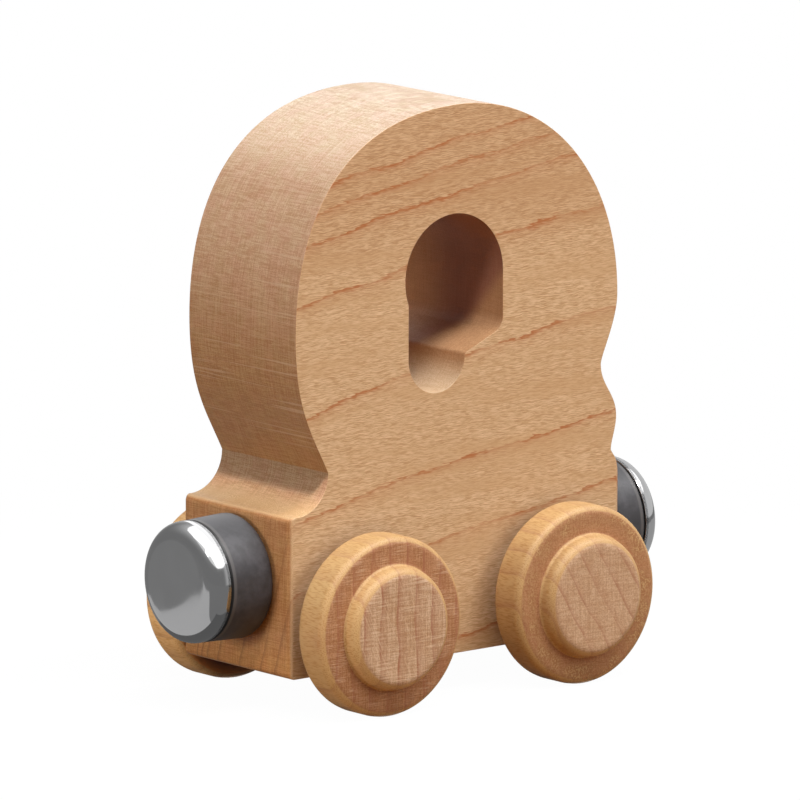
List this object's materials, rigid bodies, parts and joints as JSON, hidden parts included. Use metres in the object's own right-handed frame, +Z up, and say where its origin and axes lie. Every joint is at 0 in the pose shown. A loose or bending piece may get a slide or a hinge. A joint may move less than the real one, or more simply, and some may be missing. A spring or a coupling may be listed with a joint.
{
  "type": "letter train car",
  "caption": "Wooden toy railway car cut in the shape of a capital letter, rolling on turned wheels with steel axles, with a magnetic coupler on each end.",
  "frame": {"origin": "on the ground under the middle of the car", "axes": "+X along the car to the right as the letter is read, +Y from the read face to the back face, +Z up"},
  "size_m": [0.061, 0.0332, 0.0622],
  "materials": {
    "body_maple": "sanded, clear sealed, satin",
    "wheel_maple": "turned end grain, clear sealed",
    "axle_steel": "drawn steel rod",
    "coupler_plastic": "moulded, matte",
    "coupler_nickel": "bright nickel plate",
    "magnet_ferrite": "sintered, matte",
    "screw_steel": "zinc plated"
  },
  "bodies": {
    "car_body": {"letter_body": "body_maple", "left_coupler_sleeve": "coupler_plastic", "left_coupler_cap": "coupler_nickel", "left_coupler_magnet": "magnet_ferrite", "left_coupler_screw": "screw_steel", "right_coupler_sleeve": "coupler_plastic", "right_coupler_cap": "coupler_nickel", "right_coupler_magnet": "magnet_ferrite", "right_coupler_screw": "screw_steel"},
    "left_wheelset": {"left_axle": "axle_steel", "front_left_wheel": "wheel_maple", "back_left_wheel": "wheel_maple"},
    "right_wheelset": {"right_axle": "axle_steel", "front_right_wheel": "wheel_maple", "back_right_wheel": "wheel_maple"}
  },
  "joints": [
    {"name": "left_wheelset_roll", "type": "hinge", "parent": "car_body", "child": "left_wheelset", "pos_m": [-0.01355, 0, 0.0095], "axis": [0, 1, 0], "continuous": true},
    {"name": "right_wheelset_roll", "type": "hinge", "parent": "car_body", "child": "right_wheelset", "pos_m": [0.01285, 0, 0.0095], "axis": [0, 1, 0], "continuous": true}
  ]
}
